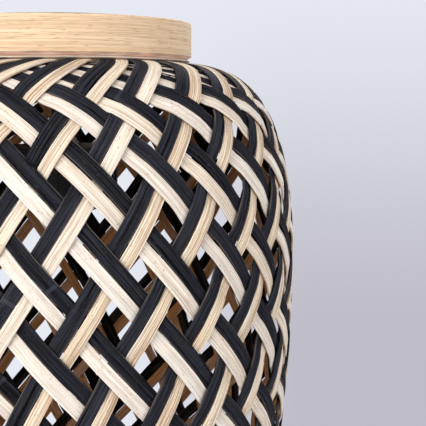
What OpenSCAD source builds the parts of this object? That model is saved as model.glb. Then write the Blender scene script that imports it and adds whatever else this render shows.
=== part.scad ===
// Garden torch: a woven bamboo head with a wooden cap that carries a solar lamp,
// on a two-section bamboo pole with a steel ground spike.
// Millimetres, +Z up. The origin is on the torch's axis at ground level.

/* [Woven head] */
// Radius of the woven body at its widest ring
head_r = 100; // [85:1:125]
// Height from the widest ring up to the underside of the cap
shoulder_h = 80; // [60:1:110]
// Half height of the curve that tapers down to the base
taper_h = 190; // [150:1:240]
// Squareness of the shoulder above the widest ring
shoulder_power = 6.6; // [3:0.2:9]
// Squareness of the taper below the widest ring
taper_power = 4; // [2.6:0.2:6]
// Outer radius of the weave where it ends at the cap and at the base
neck_r = 53; // [46:0.5:62]
// Thickness of the woven layer
weave_t = 2.4; // [1.6:0.1:3.6]
// Gap between the ends of the weave and the wooden discs
neck_gap = 0.6; // [0.3:0.1:2]

/* [Hoops] */
// Radial thickness of the bamboo hoops
hoop_t = 2.4; // [1.8:0.1:3.4]
// Height of the bamboo hoops
hoop_h = 9; // [6:0.5:14]
// Height of the woven collar that is bound over each hoop
collar_h = 6; // [4:0.5:8]
// Number of brads through the lower hoop
brad_count = 6; // [4:1:10]
// Radius of a brad
brad_r = 0.8; // [0.5:0.1:1.2]
// Length of a brad
brad_len = 8; // [6:0.5:12]

/* [Wooden discs] */
// Amount by which a disc overhangs the neck of the weave
disc_overhang = 3.1; // [2:0.1:8]
// Height of a disc's straight side
disc_t = 14; // [13:0.5:20]
// Height of the bevel on the disc's edge next to the weave
bevel_h = 2; // [1:0.25:4]
// Radius of the disc's outer edge
edge_r = 0.9; // [0.5:0.1:2]
// Depth of the turned plug that enters a hoop
plug_h = 6; // [4:0.5:8]
// Radial gap round the plug of the removable cap
plug_gap = 0.3; // [0.2:0.05:0.6]

/* [Solar window] */
// Radius of the recess in the cap
recess_r = 38; // [37:0.5:44]
// Depth of the recess in the cap
recess_h = 4; // [3.5:0.25:5]
// Thickness of the clear window
window_t = 2; // [1.5:0.25:2.5]
// Radial gap round the clear window
window_gap = 0.3; // [0.1:0.05:0.5]
// Radial width of the window's gasket
gasket_w = 3.3; // [2.5:0.1:3.5]
// Side of the square solar cell
cell_w = 47; // [30:1:47]
// Thickness of the solar cell
cell_t = 1.4; // [1:0.1:1.5]
// Thickness of the bezel ring
bezel_t = 1.2; // [0.8:0.1:2]
// Width of the bezel on each side of the recess wall
bezel_lap = 5; // [4.5:0.25:6]
// Number of bezel screws
bezel_screw_count = 4; // [3:1:8]

/* [Hanger stem] */
// Radius of the threaded stem
stem_r = 4; // [3.5:0.25:5]
// Radius of the wire way in the stem
stem_bore_r = 2.5; // [2:0.1:2.8]
// Distance from the underside of the cap to the top of the lamp housing
stem_drop = 35.6; // [28:0.2:44]
// Thickness of a hexagon nut
nut_t = 3; // [2.5:0.25:4]
// Corner radius of a hexagon nut
nut_r = 6.5; // [6.5:0.25:7.5]
// Radius of the pocket for the upper nut
pocket_r = 8.5; // [8.5:0.25:10]
// Thickness of a washer
washer_t = 1; // [0.6:0.1:1.6]

/* [Lamp housing] */
// Outer radius of the housing's wall
housing_r = 23; // [23:0.5:27]
// Thickness of the housing's wall
housing_wall = 2; // [1.6:0.1:2.4]
// Height of the housing
housing_h = 22; // [21:0.5:26]
// Amount by which the flange stands out from the wall
flange_out = 2.5; // [1.5:0.25:4]
// Height of the flange
flange_h = 3.4; // [3:0.2:5]
// Number of ribs round the housing
rib_count = 30; // [12:2:40]
// Amount by which a rib stands out from the wall
rib_out = 0.9; // [0.5:0.1:1.5]
// Depth of the dome below the housing
dome_h = 7; // [5:0.5:12]
// Thickness of the dome
dome_t = 1.4; // [1:0.1:2]
// Radial gap round the dome's rim
dome_gap = 0.3; // [0.2:0.05:0.5]
// Travel of the switch button
button_travel = 1.2; // [0.8:0.1:1.3]
// Radius of the switch button
button_r = 2.2; // [1.6:0.1:2.4]

/* [Lamp inside] */
// Thickness of the circuit board
board_t = 1.6; // [1:0.2:2]
// Radius of the battery
battery_r = 5.2; // [4.5:0.1:5.4]
// Length of the battery
battery_len = 29; // [22:0.5:30]
// Radius of the light emitting diode
led_r = 2.5; // [1.5:0.1:2.6]
// Radius of an insulated lead
lead_r = 0.55; // [0.4:0.05:0.8]

/* [Pole] */
// Radius of the bamboo poles
pole_r = 13.5; // [12.5:0.25:16]
// Length of the lower pole
lower_len = 320; // [240:5:600]
// Length of the upper pole
upper_len = 366; // [240:5:600]
// Distance between the pole's joints
joint_step = 105; // [80:1:160]
// Distance from a fitting to the first joint of the bamboo
joint_first = 46; // [36:1:60]
// Amount by which a bamboo joint stands out
joint_out = 1.3; // [0.5:0.1:2]
// Half width of a bamboo joint's swelling
joint_half = 9; // [6:0.5:14]
// Radius of the hollow in the bamboo
hollow_r = 8; // [5:0.25:9]
// Depth of the hollow at each end, up to the first inner wall
hollow_h = 44; // [30:1:60]
// Running gap between a pole and the fitting that it plugs into
pole_gap = 0.06; // [0.02:0.01:0.1]
// Thickness of the coupling sleeve's wall
sleeve_wall = 1.5; // [1:0.1:2.5]
// Length of the coupling sleeve
sleeve_len = 80; // [60:2:110]

/* [Pole socket] */
// Depth of the socket under the head
socket_depth = 43; // [36:1:60]
// Thickness of the socket's wall
socket_wall = 3.4; // [2.6:0.1:5]
// Thickness of the socket's flange
socket_flange_t = 4; // [3:0.5:6]
// Radius of the socket's flange
socket_flange_r = 34; // [32:0.5:42]
// Number of screws through the flange
socket_screw_count = 3; // [3:1:6]
// Radius of the clamp screw
clamp_r = 3; // [2.5:0.25:4]
// Radius of the clamp screw's knob
knob_r = 10; // [8:0.5:14]
// Height of the clamp screw above the socket's mouth
clamp_z = 14; // [11:0.5:18]
// Gap between the slackened clamp screw and the pole
clamp_slack = 0.5; // [0.3:0.1:1]
// Running gap of the clamp screw in its boss
clamp_gap = 0.06; // [0.02:0.01:0.1]

/* [Ground spike] */
// Radius of the steel spike
spike_r = 6; // [5:0.25:8]
// Length of the spike's straight part below the ground
spike_len = 150; // [110:5:240]
// Length of the spike's point
point_len = 30; // [20:1:50]
// Depth to which the spike enters the foot ferrule
spike_plug = 40; // [25:1:60]
// Width of the shoulder that carries the depth collar
spike_step = 0.6; // [0.4:0.1:1.2]
// Running gap between the spike and the ferrule
spike_gap = 0.06; // [0.02:0.01:0.1]
// Radius of the depth collar
collar_r = 22; // [18:0.5:34]
// Thickness of the depth collar
collar_t = 4; // [3:0.5:8]
// Thickness of the ferrule's wall round the pole
ferrule_wall = 1.7; // [1.2:0.1:3]
// Depth of the cup that holds the pole
cup_h = 48; // [36:1:70]

/* [Hidden] */

$fn = 96;
// Slight overshoot that lets a cut pass clean through a face
cut = 1;

// Heights of the pole, from the ground up
ferrule_floor = 2;
lower_z = collar_t + spike_plug + ferrule_floor;
joint_z = lower_z + lower_len;
upper_z = joint_z + upper_len;
socket_z = upper_z - socket_depth;
sleeve_z = joint_z - sleeve_len / 2;
cup_top = lower_z + cup_h;
plug_r = spike_r - spike_step;

// Heights of the head
base_z = upper_z + socket_flange_t;
base_top = base_z + disc_t + bevel_h;
top_turn = acos(pow(neck_r / head_r, shoulder_power / 2));
base_turn = acos(pow(neck_r / head_r, taper_power / 2));
wide_z = base_top + neck_gap + taper_h * sin(base_turn);
cap_z = wide_z + shoulder_h * sin(top_turn) + neck_gap;
cap_top = cap_z + bevel_h + disc_t;

// Radii of the neck
disc_r = neck_r + disc_overhang;
hoop_out = neck_r - 1.1;
hoop_in = hoop_out - hoop_t;

// Heights inside the cap
recess_z = cap_top - recess_h;
window_z = cap_top - window_t;
pocket_z = recess_z - nut_t - washer_t - cut;
plug_z = cap_z - plug_h;

// Heights of the lamp unit
housing_top = cap_z - stem_drop;
housing_low = housing_top - housing_h;
roof_t = 2.4;
room_z = housing_top - roof_t;
room_r = housing_r - housing_wall;
board_z = housing_low + 2.8;
board_top = board_z + board_t;
battery_y = battery_r + 2.2;
battery_z = board_top + battery_r + 1.1;
holder_wall = 1.5;
post_r = 2.6;
post_x = 13;
post_y = -9.5;
screw_r = 1.2;
button_z = board_top + button_r + 1.1;
switch_y = battery_y + battery_r + holder_wall + 0.2;
switch_deep = 4;
switch_w = 6;
switch_h = 5.6;
plunger_r = 1;
rim_w = 1.9;
rim_r = room_r - dome_gap;
groove_z = housing_low + 0.8;
groove_h = 1.2;
groove_out = 1;
lug_out = 0.7;
lug_count = 3;
lug_turn = 10;
twist_turn = 40;
lip_t = 1.2;

// A radial screw's sizes on the pole fittings
pin_r = 1.5;
pin_head_r = 3;
pin_depth = 4.5;
// Sizes of the flange screws
flange_screw_r = 2;
flange_screw_circle = 26;
flange_screw_len = 12;
// Size of the bezel screws
bezel_screw_r = 1;
bezel_screw_len = 7;
// Clamp boss and knob
boss_r = 6.5;
boss_out = 6;
knob_t = 12;
clamp_x = pole_r + clamp_slack;
knob_x = pole_r + socket_wall + boss_out + 3;

// Outline of the weave: a curve of powers that is squarer above the widest ring.
// A turn of 0 is the widest ring, and 90 is the axis.
function weave_power(turn) = turn > 0 ? shoulder_power : taper_power;
function weave_rise(turn) = turn > 0 ? shoulder_h : taper_h;
function weave_point(turn) = [
    head_r * pow(cos(turn), 2 / weave_power(turn)),
    wide_z + weave_rise(turn) * sin(turn)
];
function weave_slope(turn) = [
    -head_r * 2 / weave_power(turn) * pow(cos(turn), 2 / weave_power(turn) - 1) * sin(turn),
    weave_rise(turn) * cos(turn)
];
function weave_inner(turn) =
    weave_point(turn) + weave_t / norm(weave_slope(turn)) * [-weave_slope(turn)[1], weave_slope(turn)[0]];
weave_steps = 28;
weave_turns = [for (i = [0:weave_steps]) -base_turn + (base_turn + top_turn) * i / weave_steps];

// Half of a rounded edge, from the top face to the side
function round_edge(r, z, size) = [for (a = [90:-15:0]) [r - size + size * cos(a), z - size + size * sin(a)]];

// Radius added by a bamboo joint at a distance from its middle
function joint_swell(s) = joint_out * pow(cos(90 * s), 2);
function joint_outline(z) = [for (s = [-1:0.25:1]) [pole_r + joint_swell(s), z + s * joint_half]];
function joint_heights(first, last) = [for (z = [first:joint_step:last]) z];

// Hexagon nut with its lower face at z
module nut_at(z) {
    translate([0, 0, z]) difference() {
        cylinder(r = nut_r, h = nut_t, $fn = 6);
        translate([0, 0, -cut]) cylinder(r = stem_r, h = nut_t + 2 * cut);
    }
}

// Screw that points up, with a flat head below z and a crossed drive
module flat_screw(r, len, head_r, head_t) {
    difference() {
        union() {
            cylinder(r = r, h = len);
            cylinder(r1 = head_r, r2 = r, h = head_t);
        }
        for (a = [0, 90])
            rotate([0, 0, a]) cube([head_r * 1.3, head_r * 0.3, head_t], center = true);
    }
}

// Screw along +X whose round head sits on a wall at x
module round_screw(x, depth) {
    translate([x, 0, 0]) rotate([0, 90, 0]) {
        translate([0, 0, -depth]) cylinder(r = pin_r, h = depth, $fn = 32);
        difference() {
            scale_cap(pin_head_r, 1.6);
            translate([0, 0, 1.6]) cube([pin_head_r * 1.5, 0.7, 1.4], center = true);
        }
    }
}

// Low domed cap of a radius and height, from an arc
module scale_cap(r, h) {
    ball = (r * r + h * h) / (2 * h);
    rotate_extrude($fn = 48)
        polygon(concat([[0, 0]], [for (i = [0:6]) let (x = r * (1 - i / 6)) [x, h - ball + sqrt(ball * ball - x * x)]]));
}

// Round wire swept along a list of points, as one closed solid with eight sides
function wire_heading(points, i) =
    let (d = points[min(i + 1, len(points) - 1)] - points[max(i - 1, 0)]) d / norm(d);
function wire_ring(points, i, r) =
    let (t = wire_heading(points, i), side = cross(t, [1, 0, 0]), u = side / norm(side), v = cross(t, u))
    [for (a = [0:45:315]) points[i] + r * (cos(a) * u + sin(a) * v)];
module wire(points, r) {
    sides = 8;
    last = len(points) - 1;
    rings = [for (i = [0:last]) for (p = wire_ring(points, i, r)) p];
    walls = [for (i = [0:last - 1]) for (j = [0:sides - 1])
        [i * sides + j, i * sides + (j + 1) % sides, (i + 1) * sides + (j + 1) % sides, (i + 1) * sides + j]];
    polyhedron(points = rings, faces = concat(
        [[for (j = [sides - 1:-1:0]) j]], walls, [[for (j = [0:sides - 1]) last * sides + j]]
    ));
}

module sleeve_screw_places() {
    for (z = [lower_z + cup_h / 2, joint_z - sleeve_len / 4])
        for (a = [-90, 90])
            translate([0, 0, z]) rotate([0, 0, a]) children();
}

module ground_spike() {
    color("silver") union() {
        translate([0, 0, -spike_len]) cylinder(r = spike_r, h = spike_len);
        cylinder(r = plug_r, h = collar_t + spike_plug);
        translate([0, 0, -spike_len - point_len]) cylinder(r1 = 0.6, r2 = spike_r, h = point_len);
    }
}

module depth_collar() {
    color("dimgray") rotate_extrude()
        polygon(concat([[plug_r, 0], [plug_r, collar_t]], round_edge(collar_r, collar_t, 2), [[collar_r, 0]]));
}

module foot_ferrule() {
    out_r = pole_r + pole_gap + ferrule_wall;
    heel_r = spike_r + 5;
    color("dimgray") difference() {
        rotate_extrude()
            polygon(concat(
                [[0, collar_t], [heel_r, collar_t], [heel_r, collar_t + 10]],
                [for (a = [0:15:90]) [heel_r + (out_r - heel_r) * (1 - cos(a)), collar_t + 10 + (lower_z - collar_t - 12) * sin(a)]],
                [[out_r, cup_top - 4], [out_r + 1, cup_top - 3], [out_r + 1, cup_top - 1], [out_r, cup_top], [0, cup_top]]
            ));
        translate([0, 0, collar_t - cut]) cylinder(r = plug_r + spike_gap, h = spike_plug + cut);
        translate([0, 0, lower_z]) cylinder(r = pole_r + pole_gap, h = cup_h + cut);
        sleeve_screw_places() rotate([0, 90, 0]) cylinder(r = pin_r, h = out_r + 2 * cut, $fn = 32);
    }
}

// Bamboo pole between two heights with joints from first to last
module bamboo(z0, z1, first, last) {
    difference() {
        rotate_extrude()
            polygon(concat(
                [[0, z0], [pole_r - 0.6, z0], [pole_r, z0 + 0.6]],
                [for (z = joint_heights(first, last)) for (p = joint_outline(z)) p],
                [[pole_r, z1 - 0.6], [pole_r - 0.6, z1], [0, z1]]
            ));
        translate([0, 0, z0 - cut]) cylinder(r = hollow_r, h = hollow_h + cut);
        translate([0, 0, z1 - hollow_h]) cylinder(r = hollow_r, h = hollow_h + cut);
    }
}

module lower_pole() {
    color("burlywood") difference() {
        bamboo(lower_z, joint_z, cup_top + joint_first, sleeve_z - joint_half - 4);
        sleeve_screw_places() translate([pole_r - pin_depth + 0.2, 0, 0]) rotate([0, 90, 0]) cylinder(r = pin_r, h = 20, $fn = 32);
    }
}

module upper_pole() {
    color("burlywood")
        bamboo(joint_z, upper_z, sleeve_z + sleeve_len + joint_first, socket_z - joint_half - 4);
}

module coupling_sleeve() {
    in_r = pole_r + pole_gap;
    out_r = in_r + sleeve_wall;
    top = sleeve_z + sleeve_len;
    color("dimgray") difference() {
        rotate_extrude()
            polygon([
                [in_r, sleeve_z], [out_r, sleeve_z], [out_r, sleeve_z + 5], [out_r + 0.9, sleeve_z + 6],
                [out_r + 0.9, sleeve_z + 8], [out_r, sleeve_z + 9], [out_r, joint_z - 2], [out_r + 0.9, joint_z - 1],
                [out_r + 0.9, joint_z + 1], [out_r, joint_z + 2], [out_r, top - 9], [out_r + 0.9, top - 8],
                [out_r + 0.9, top - 6], [out_r, top - 5], [out_r, top - 0.5], [out_r - 0.5, top], [in_r, top]
            ]);
        sleeve_screw_places() rotate([0, 90, 0]) cylinder(r = pin_r, h = out_r + 2 * cut, $fn = 32);
    }
}

module sleeve_screws() {
    color("silver") {
        for (a = [-90, 90]) {
            translate([0, 0, lower_z + cup_h / 2]) rotate([0, 0, a])
                round_screw(pole_r + pole_gap + ferrule_wall, pin_depth + ferrule_wall - 0.4);
            translate([0, 0, joint_z - sleeve_len / 4]) rotate([0, 0, a])
                round_screw(pole_r + pole_gap + sleeve_wall, pin_depth + sleeve_wall - 0.4);
        }
    }
}

module flange_screw_places() {
    for (i = [0:socket_screw_count - 1])
        rotate([0, 0, 60 + 360 * i / socket_screw_count]) translate([flange_screw_circle, 0, 0]) children();
}

module pole_socket() {
    in_r = pole_r + pole_gap;
    out_r = in_r + socket_wall;
    neck = 8;
    color("dimgray") difference() {
        union() {
            rotate_extrude()
                polygon(concat(
                    [[0, socket_z], [out_r - 0.8, socket_z], [out_r, socket_z + 0.8]],
                    [for (a = [0:15:90]) [out_r + (socket_flange_r - 12 - out_r) * (1 - cos(a)), upper_z - neck + (neck - 1) * sin(a)]],
                    [[socket_flange_r - 1, upper_z], [socket_flange_r, upper_z + 1], [socket_flange_r, base_z], [0, base_z]]
                ));
            translate([pole_r, 0, socket_z + clamp_z]) rotate([0, 90, 0])
                cylinder(r = boss_r, h = socket_wall + boss_out);
        }
        translate([0, 0, socket_z - cut]) cylinder(r = in_r, h = socket_depth + cut);
        translate([pole_r - 2, 0, socket_z + clamp_z]) rotate([0, 90, 0])
            cylinder(r = clamp_r + clamp_gap, h = socket_wall + boss_out + 4);
        flange_screw_places() translate([0, 0, upper_z - cut]) cylinder(r = flange_screw_r, h = socket_flange_t + 2 * cut);
        flange_screw_places() translate([0, 0, upper_z - 0.4]) cylinder(r1 = flange_screw_r * 2, r2 = flange_screw_r, h = 2.4);
    }
}

module socket_screws() {
    color("silver") flange_screw_places() translate([0, 0, upper_z - 0.4])
        flat_screw(flange_screw_r, flange_screw_len, flange_screw_r * 2, 2.4);
}

module clamp_screw() {
    color("silver") translate([clamp_x, 0, socket_z + clamp_z]) rotate([0, 90, 0])
        union() {
            translate([0, 0, 1]) cylinder(r = clamp_r, h = knob_x + knob_t - 3 - clamp_x - 1);
            cylinder(r1 = clamp_r - 1, r2 = clamp_r, h = 1);
        }
}

module clamp_knob() {
    lobes = 6;
    color("dimgray") translate([knob_x, 0, socket_z + clamp_z]) rotate([0, 90, 0]) difference() {
        union() {
            cylinder(r = knob_r, h = knob_t - 1);
            translate([0, 0, knob_t - 1]) cylinder(r1 = knob_r, r2 = knob_r - 1, h = 1);
            translate([0, 0, -2]) cylinder(r = clamp_r + 2.5, h = 3);
        }
        translate([0, 0, -3]) cylinder(r = clamp_r, h = knob_t);
        for (i = [0:lobes - 1])
            rotate([0, 0, 360 * (i + 0.5) / lobes]) translate([knob_r + 2.2, 0, -cut]) cylinder(r = 4, h = knob_t + 2 * cut, $fn = 48);
    }
}

// Wooden disc on z = 0 with a rounded edge above and a bevel and plug below
module turned_disc(spigot_r) {
    rotate_extrude($fn = 128)
        polygon(concat(
            [[0, -plug_h], [spigot_r - 0.5, -plug_h], [spigot_r, 0.5 - plug_h], [spigot_r, 0], [neck_r, 0], [disc_r, bevel_h]],
            [for (i = [6:-1:0]) round_edge(disc_r, bevel_h + disc_t, edge_r)[i]],
            [[0, bevel_h + disc_t]]
        ));
}

module brad_places(z) {
    for (i = [0:brad_count - 1])
        rotate([0, 0, 30 + 360 * i / brad_count]) translate([hoop_out, 0, z]) rotate([0, -90, 0]) children();
}

module base_disc() {
    color("burlywood") difference() {
        translate([0, 0, base_top]) mirror([0, 0, 1]) turned_disc(hoop_in);
        flange_screw_places() translate([0, 0, base_z - cut])
            cylinder(r = flange_screw_r, h = flange_screw_len - socket_flange_t - 0.4 + cut);
        brad_places(base_top + plug_h / 2) cylinder(r = brad_r, h = brad_len, $fn = 24);
    }
}

module bottom_hoop() {
    color("wheat") difference() {
        translate([0, 0, base_top]) cylinder(r = hoop_out, h = hoop_h, $fn = 128);
        translate([0, 0, base_top - cut]) cylinder(r = hoop_in, h = hoop_h + 2 * cut, $fn = 128);
        brad_places(base_top + plug_h / 2) translate([0, 0, -cut]) cylinder(r = brad_r, h = brad_len, $fn = 24);
    }
}

// A brad's head is sunk a little below the hoop's face
module hoop_brads() {
    sunk = 0.1;
    color("silver") brad_places(base_top + plug_h / 2)
        translate([0, 0, sunk]) cylinder(r = brad_r, h = brad_len - sunk, $fn = 24);
}

module top_hoop() {
    color("wheat") difference() {
        translate([0, 0, cap_z - hoop_h]) cylinder(r = hoop_out, h = hoop_h, $fn = 128);
        translate([0, 0, cap_z - hoop_h - cut]) cylinder(r = hoop_in, h = hoop_h + 2 * cut, $fn = 128);
    }
}

// Woven collar that is bound over a hoop
module woven_collar(z) {
    translate([0, 0, z]) difference() {
        cylinder(r = neck_r, h = collar_h, $fn = 128);
        translate([0, 0, -cut]) cylinder(r = hoop_out, h = collar_h + 2 * cut, $fn = 128);
    }
}

module woven_body() {
    color("wheat") difference() {
        union() {
            rotate_extrude($fn = 128)
                polygon(concat(
                    [for (t = weave_turns) weave_point(t)],
                    [for (i = [weave_steps:-1:0]) weave_inner(weave_turns[i])]
                ));
            woven_collar(base_top + neck_gap);
            woven_collar(cap_z - neck_gap - collar_h);
        }
        for (z = [base_top, cap_z - hoop_h])
            translate([0, 0, z - cut]) cylinder(r = hoop_out, h = hoop_h + 2 * cut, $fn = 128);
    }
}

module bezel_screw_places() {
    for (i = [0:bezel_screw_count - 1])
        rotate([0, 0, 45 + 360 * i / bezel_screw_count]) translate([recess_r + bezel_lap / 2, 0, cap_top + bezel_t]) children();
}

module wooden_cap() {
    color("burlywood") difference() {
        translate([0, 0, cap_z]) turned_disc(hoop_in - plug_gap);
        translate([0, 0, recess_z]) cylinder(r = recess_r, h = recess_h + cut);
        translate([0, 0, pocket_z]) cylinder(r = pocket_r, h = recess_z - pocket_z + cut);
        translate([0, 0, plug_z - cut]) cylinder(r = stem_r, h = pocket_z - plug_z + 2 * cut);
        bezel_screw_places() translate([0, 0, -bezel_screw_len]) cylinder(r = bezel_screw_r, h = bezel_screw_len, $fn = 24);
    }
}

module window_gasket() {
    color("black") difference() {
        translate([0, 0, recess_z]) cylinder(r = recess_r, h = recess_h - window_t);
        translate([0, 0, recess_z - cut]) cylinder(r = recess_r - gasket_w, h = recess_h + cut);
    }
}

module solar_cell() {
    color("midnightblue") translate([-cell_w / 2, -cell_w / 2, recess_z]) cube([cell_w, cell_w, cell_t]);
}

module solar_window() {
    color("lightblue", 0.4) translate([0, 0, window_z]) cylinder(r = recess_r - window_gap, h = window_t);
}

module window_bezel() {
    color("dimgray") difference() {
        translate([0, 0, cap_top]) rotate_extrude()
            polygon([
                [recess_r - bezel_lap, 0], [recess_r + bezel_lap, 0], [recess_r + bezel_lap, bezel_t - 0.4],
                [recess_r + bezel_lap - 0.4, bezel_t], [recess_r - bezel_lap + 0.6, bezel_t]
            ]);
        bezel_screw_places() translate([0, 0, -bezel_t - cut]) cylinder(r = bezel_screw_r, h = bezel_t + 2 * cut, $fn = 24);
        bezel_screw_places() translate([0, 0, -bezel_t + 0.2]) cylinder(r1 = bezel_screw_r, r2 = bezel_screw_r + bezel_t, h = bezel_t, $fn = 24);
    }
}

module bezel_screws() {
    color("silver") bezel_screw_places() difference() {
        union() {
            translate([0, 0, -bezel_screw_len]) cylinder(r = bezel_screw_r, h = bezel_screw_len, $fn = 24);
            translate([0, 0, -bezel_t + 0.2]) cylinder(r1 = bezel_screw_r, r2 = bezel_screw_r + bezel_t - 0.2, h = bezel_t - 0.2, $fn = 24);
        }
        for (a = [0, 90])
            rotate([0, 0, a]) cube([2.4, 0.5, 0.8], center = true);
    }
}

module hanger_stem() {
    low = room_z - nut_t - 0.5;
    top = pocket_z + washer_t + nut_t + 0.5;
    color("dimgray") difference() {
        translate([0, 0, low]) cylinder(r = stem_r, h = top - low);
        translate([0, 0, low - cut]) cylinder(r = stem_bore_r, h = top - low + 2 * cut);
    }
}

module stem_nuts() {
    color("silver") {
        nut_at(pocket_z + washer_t);
        nut_at(plug_z - washer_t - nut_t);
        nut_at(housing_top);
        nut_at(room_z - nut_t);
    }
}

module stem_washers() {
    color("silver") for (z = [pocket_z, plug_z - washer_t])
        translate([0, 0, z]) difference() {
            cylinder(r = pocket_r - 0.5, h = washer_t);
            translate([0, 0, -cut]) cylinder(r = stem_r, h = washer_t + 2 * cut);
        }
}

module post_places() {
    for (s = [-1, 1])
        translate([s * post_x, post_y, 0]) children();
}

module lamp_housing() {
    rim = housing_r + flange_out;
    groove = 0.7;
    line = flange_h / 5;
    color("black") difference() {
        union() {
            rotate_extrude()
                polygon([
                    [0, housing_top], [rim, housing_top], [rim, housing_top - line],
                    [rim - groove, housing_top - line], [rim - groove, housing_top - 2 * line],
                    [rim, housing_top - 2 * line], [rim, housing_top - 3 * line],
                    [rim - groove, housing_top - 3 * line], [rim - groove, housing_top - 4 * line],
                    [rim, housing_top - 4 * line], [rim, housing_top - flange_h],
                    [housing_r, housing_top - flange_h], [housing_r, housing_low], [room_r, housing_low],
                    [room_r, room_z], [0, room_z]
                ]);
            for (i = [0:rib_count - 1])
                rotate([0, 0, 90 + 360 * (i + 0.5) / rib_count])
                    translate([housing_r - 0.5, -0.6, housing_low + 1])
                        cube([rib_out + 0.5, 1.2, housing_h - flange_h - 0.5]);
            post_places() translate([0, 0, board_top]) cylinder(r = post_r, h = room_z - board_top + 0.5, $fn = 48);
        }
        translate([0, 0, room_z - cut]) cylinder(r = stem_r, h = roof_t + 2 * cut);
        post_places() translate([0, 0, board_top - cut]) cylinder(r = screw_r, h = 11 + cut, $fn = 32);
        translate([0, 0, groove_z]) cylinder(r = room_r + groove_out, h = groove_h);
        for (i = [0:lug_count - 1])
            rotate([0, 0, twist_turn + 360 * i / lug_count])
                rotate_extrude(angle = lug_turn + 2)
                    translate([room_r - 1, housing_low - cut]) square([groove_out + 1, groove_z - housing_low + cut + 0.2]);
        translate([0, room_r - 1.5, button_z]) rotate([-90, 0, 0]) cylinder(r = button_r + 0.3, h = housing_wall + 4, $fn = 48);
    }
}

module battery() {
    tip = 1;
    color("seagreen") translate([0, battery_y, battery_z]) rotate([0, 90, 0]) union() {
        translate([0, 0, -battery_len / 2]) cylinder(r = battery_r, h = battery_len - tip, $fn = 64);
        translate([0, 0, battery_len / 2 - tip - 0.1]) cylinder(r = 1.8, h = tip + 0.1, $fn = 32);
    }
}

module battery_holder() {
    long = battery_len + 0.8;
    deep = 2 * battery_r + 2 * holder_wall;
    color("black") difference() {
        intersection() {
            translate([-long / 2 - holder_wall, battery_y - deep / 2, board_top])
                cube([long + 2 * holder_wall, deep, battery_z - board_top - 0.6]);
            translate([0, 0, board_top - cut]) cylinder(r = room_r - 0.5, h = 20);
        }
        translate([-long / 2, battery_y, battery_z]) rotate([0, 90, 0]) cylinder(r = battery_r + 0.1, h = long, $fn = 64);
    }
}

module battery_contacts() {
    color("silver") for (s = [-1, 1])
        translate([s * (battery_len / 2 + 0.2) - 0.15, battery_y - 2.5, board_top + 2])
            cube([0.3, 5, battery_z - board_top + 1]);
}

module circuit_board() {
    color("darkgreen") difference() {
        translate([0, 0, board_z]) cylinder(r = room_r - 0.4, h = board_t);
        post_places() translate([0, 0, board_z - cut]) cylinder(r = screw_r, h = board_t + 2 * cut, $fn = 32);
    }
}

module board_parts() {
    color("dimgray") {
        translate([-3, -14.5, board_top]) cube([6, 4, 1.6]);
        translate([-7, -4, board_top]) cylinder(r = 2.5, h = 4, $fn = 48);
        translate([5, -5.5, board_top]) cube([4, 3, 1.2]);
    }
}

module switch_body() {
    color("dimgray") difference() {
        translate([-switch_w / 2, switch_y, board_top]) cube([switch_w, switch_deep, switch_h]);
        translate([0, switch_y + switch_deep - button_travel - 0.6, button_z]) rotate([-90, 0, 0])
            cylinder(r = plunger_r + 0.3, h = 4, $fn = 32);
    }
}

module power_button() {
    face = switch_y + switch_deep;
    // The collar sits just inside the wall, and the plunger's end just inside the switch
    collar = room_r - 0.6;
    color("gray") translate([0, 0, button_z]) rotate([-90, 0, 0]) union() {
        translate([0, 0, face - 0.2]) cylinder(r = plunger_r, h = collar - face, $fn = 32);
        translate([0, 0, collar - 0.6]) cylinder(r = button_r + 0.7, h = 0.6, $fn = 48);
        translate([0, 0, collar - 0.1]) cylinder(r = button_r, h = housing_r + 2 - collar, $fn = 48);
    }
}

module light_diode() {
    color("white") union() {
        translate([0, 0, board_z - 1]) cylinder(r = led_r + 0.4, h = 1, $fn = 48);
        translate([0, 0, board_z - 4.5]) cylinder(r = led_r, h = 4, $fn = 48);
        translate([0, 0, board_z - 4.5]) sphere(r = led_r, $fn = 48);
    }
}

module reflector() {
    in_r = led_r + 0.6;
    out_r = rim_r - rim_w - 0.6;
    color("white") rotate_extrude()
        polygon([
            [in_r, board_z - 1.8], [out_r, board_z - 3.6], [out_r, board_z - 4.6], [in_r, board_z - 2.8]
        ]);
}

module housing_screws() {
    color("silver") post_places() translate([0, 0, board_z]) difference() {
        union() {
            cylinder(r = screw_r, h = board_t + 10, $fn = 32);
            translate([0, 0, -1.2]) cylinder(r = 1.8, h = 1.2, $fn = 32);
        }
        for (a = [0, 90])
            rotate([0, 0, a]) translate([0, 0, -1.2]) cube([2.6, 0.5, 0.9], center = true);
    }
}

module solar_leads() {
    exit_z = room_z - nut_t - 0.5;
    drop = exit_z - board_top;
    for (s = [-1, 1])
        color(s < 0 ? "red" : "black") wire([
            [s * 0.9, 0, recess_z], [s * 0.9, 0, exit_z], [s * 1.1, -0.7, exit_z - 0.2 * drop],
            [s * 1.7, -2.6, exit_z - 0.4 * drop], [s * 2.4, -5, exit_z - 0.6 * drop],
            [s * 2.9, -6.6, exit_z - 0.8 * drop], [s * 3, -7, board_top]
        ], lead_r);
}

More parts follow.
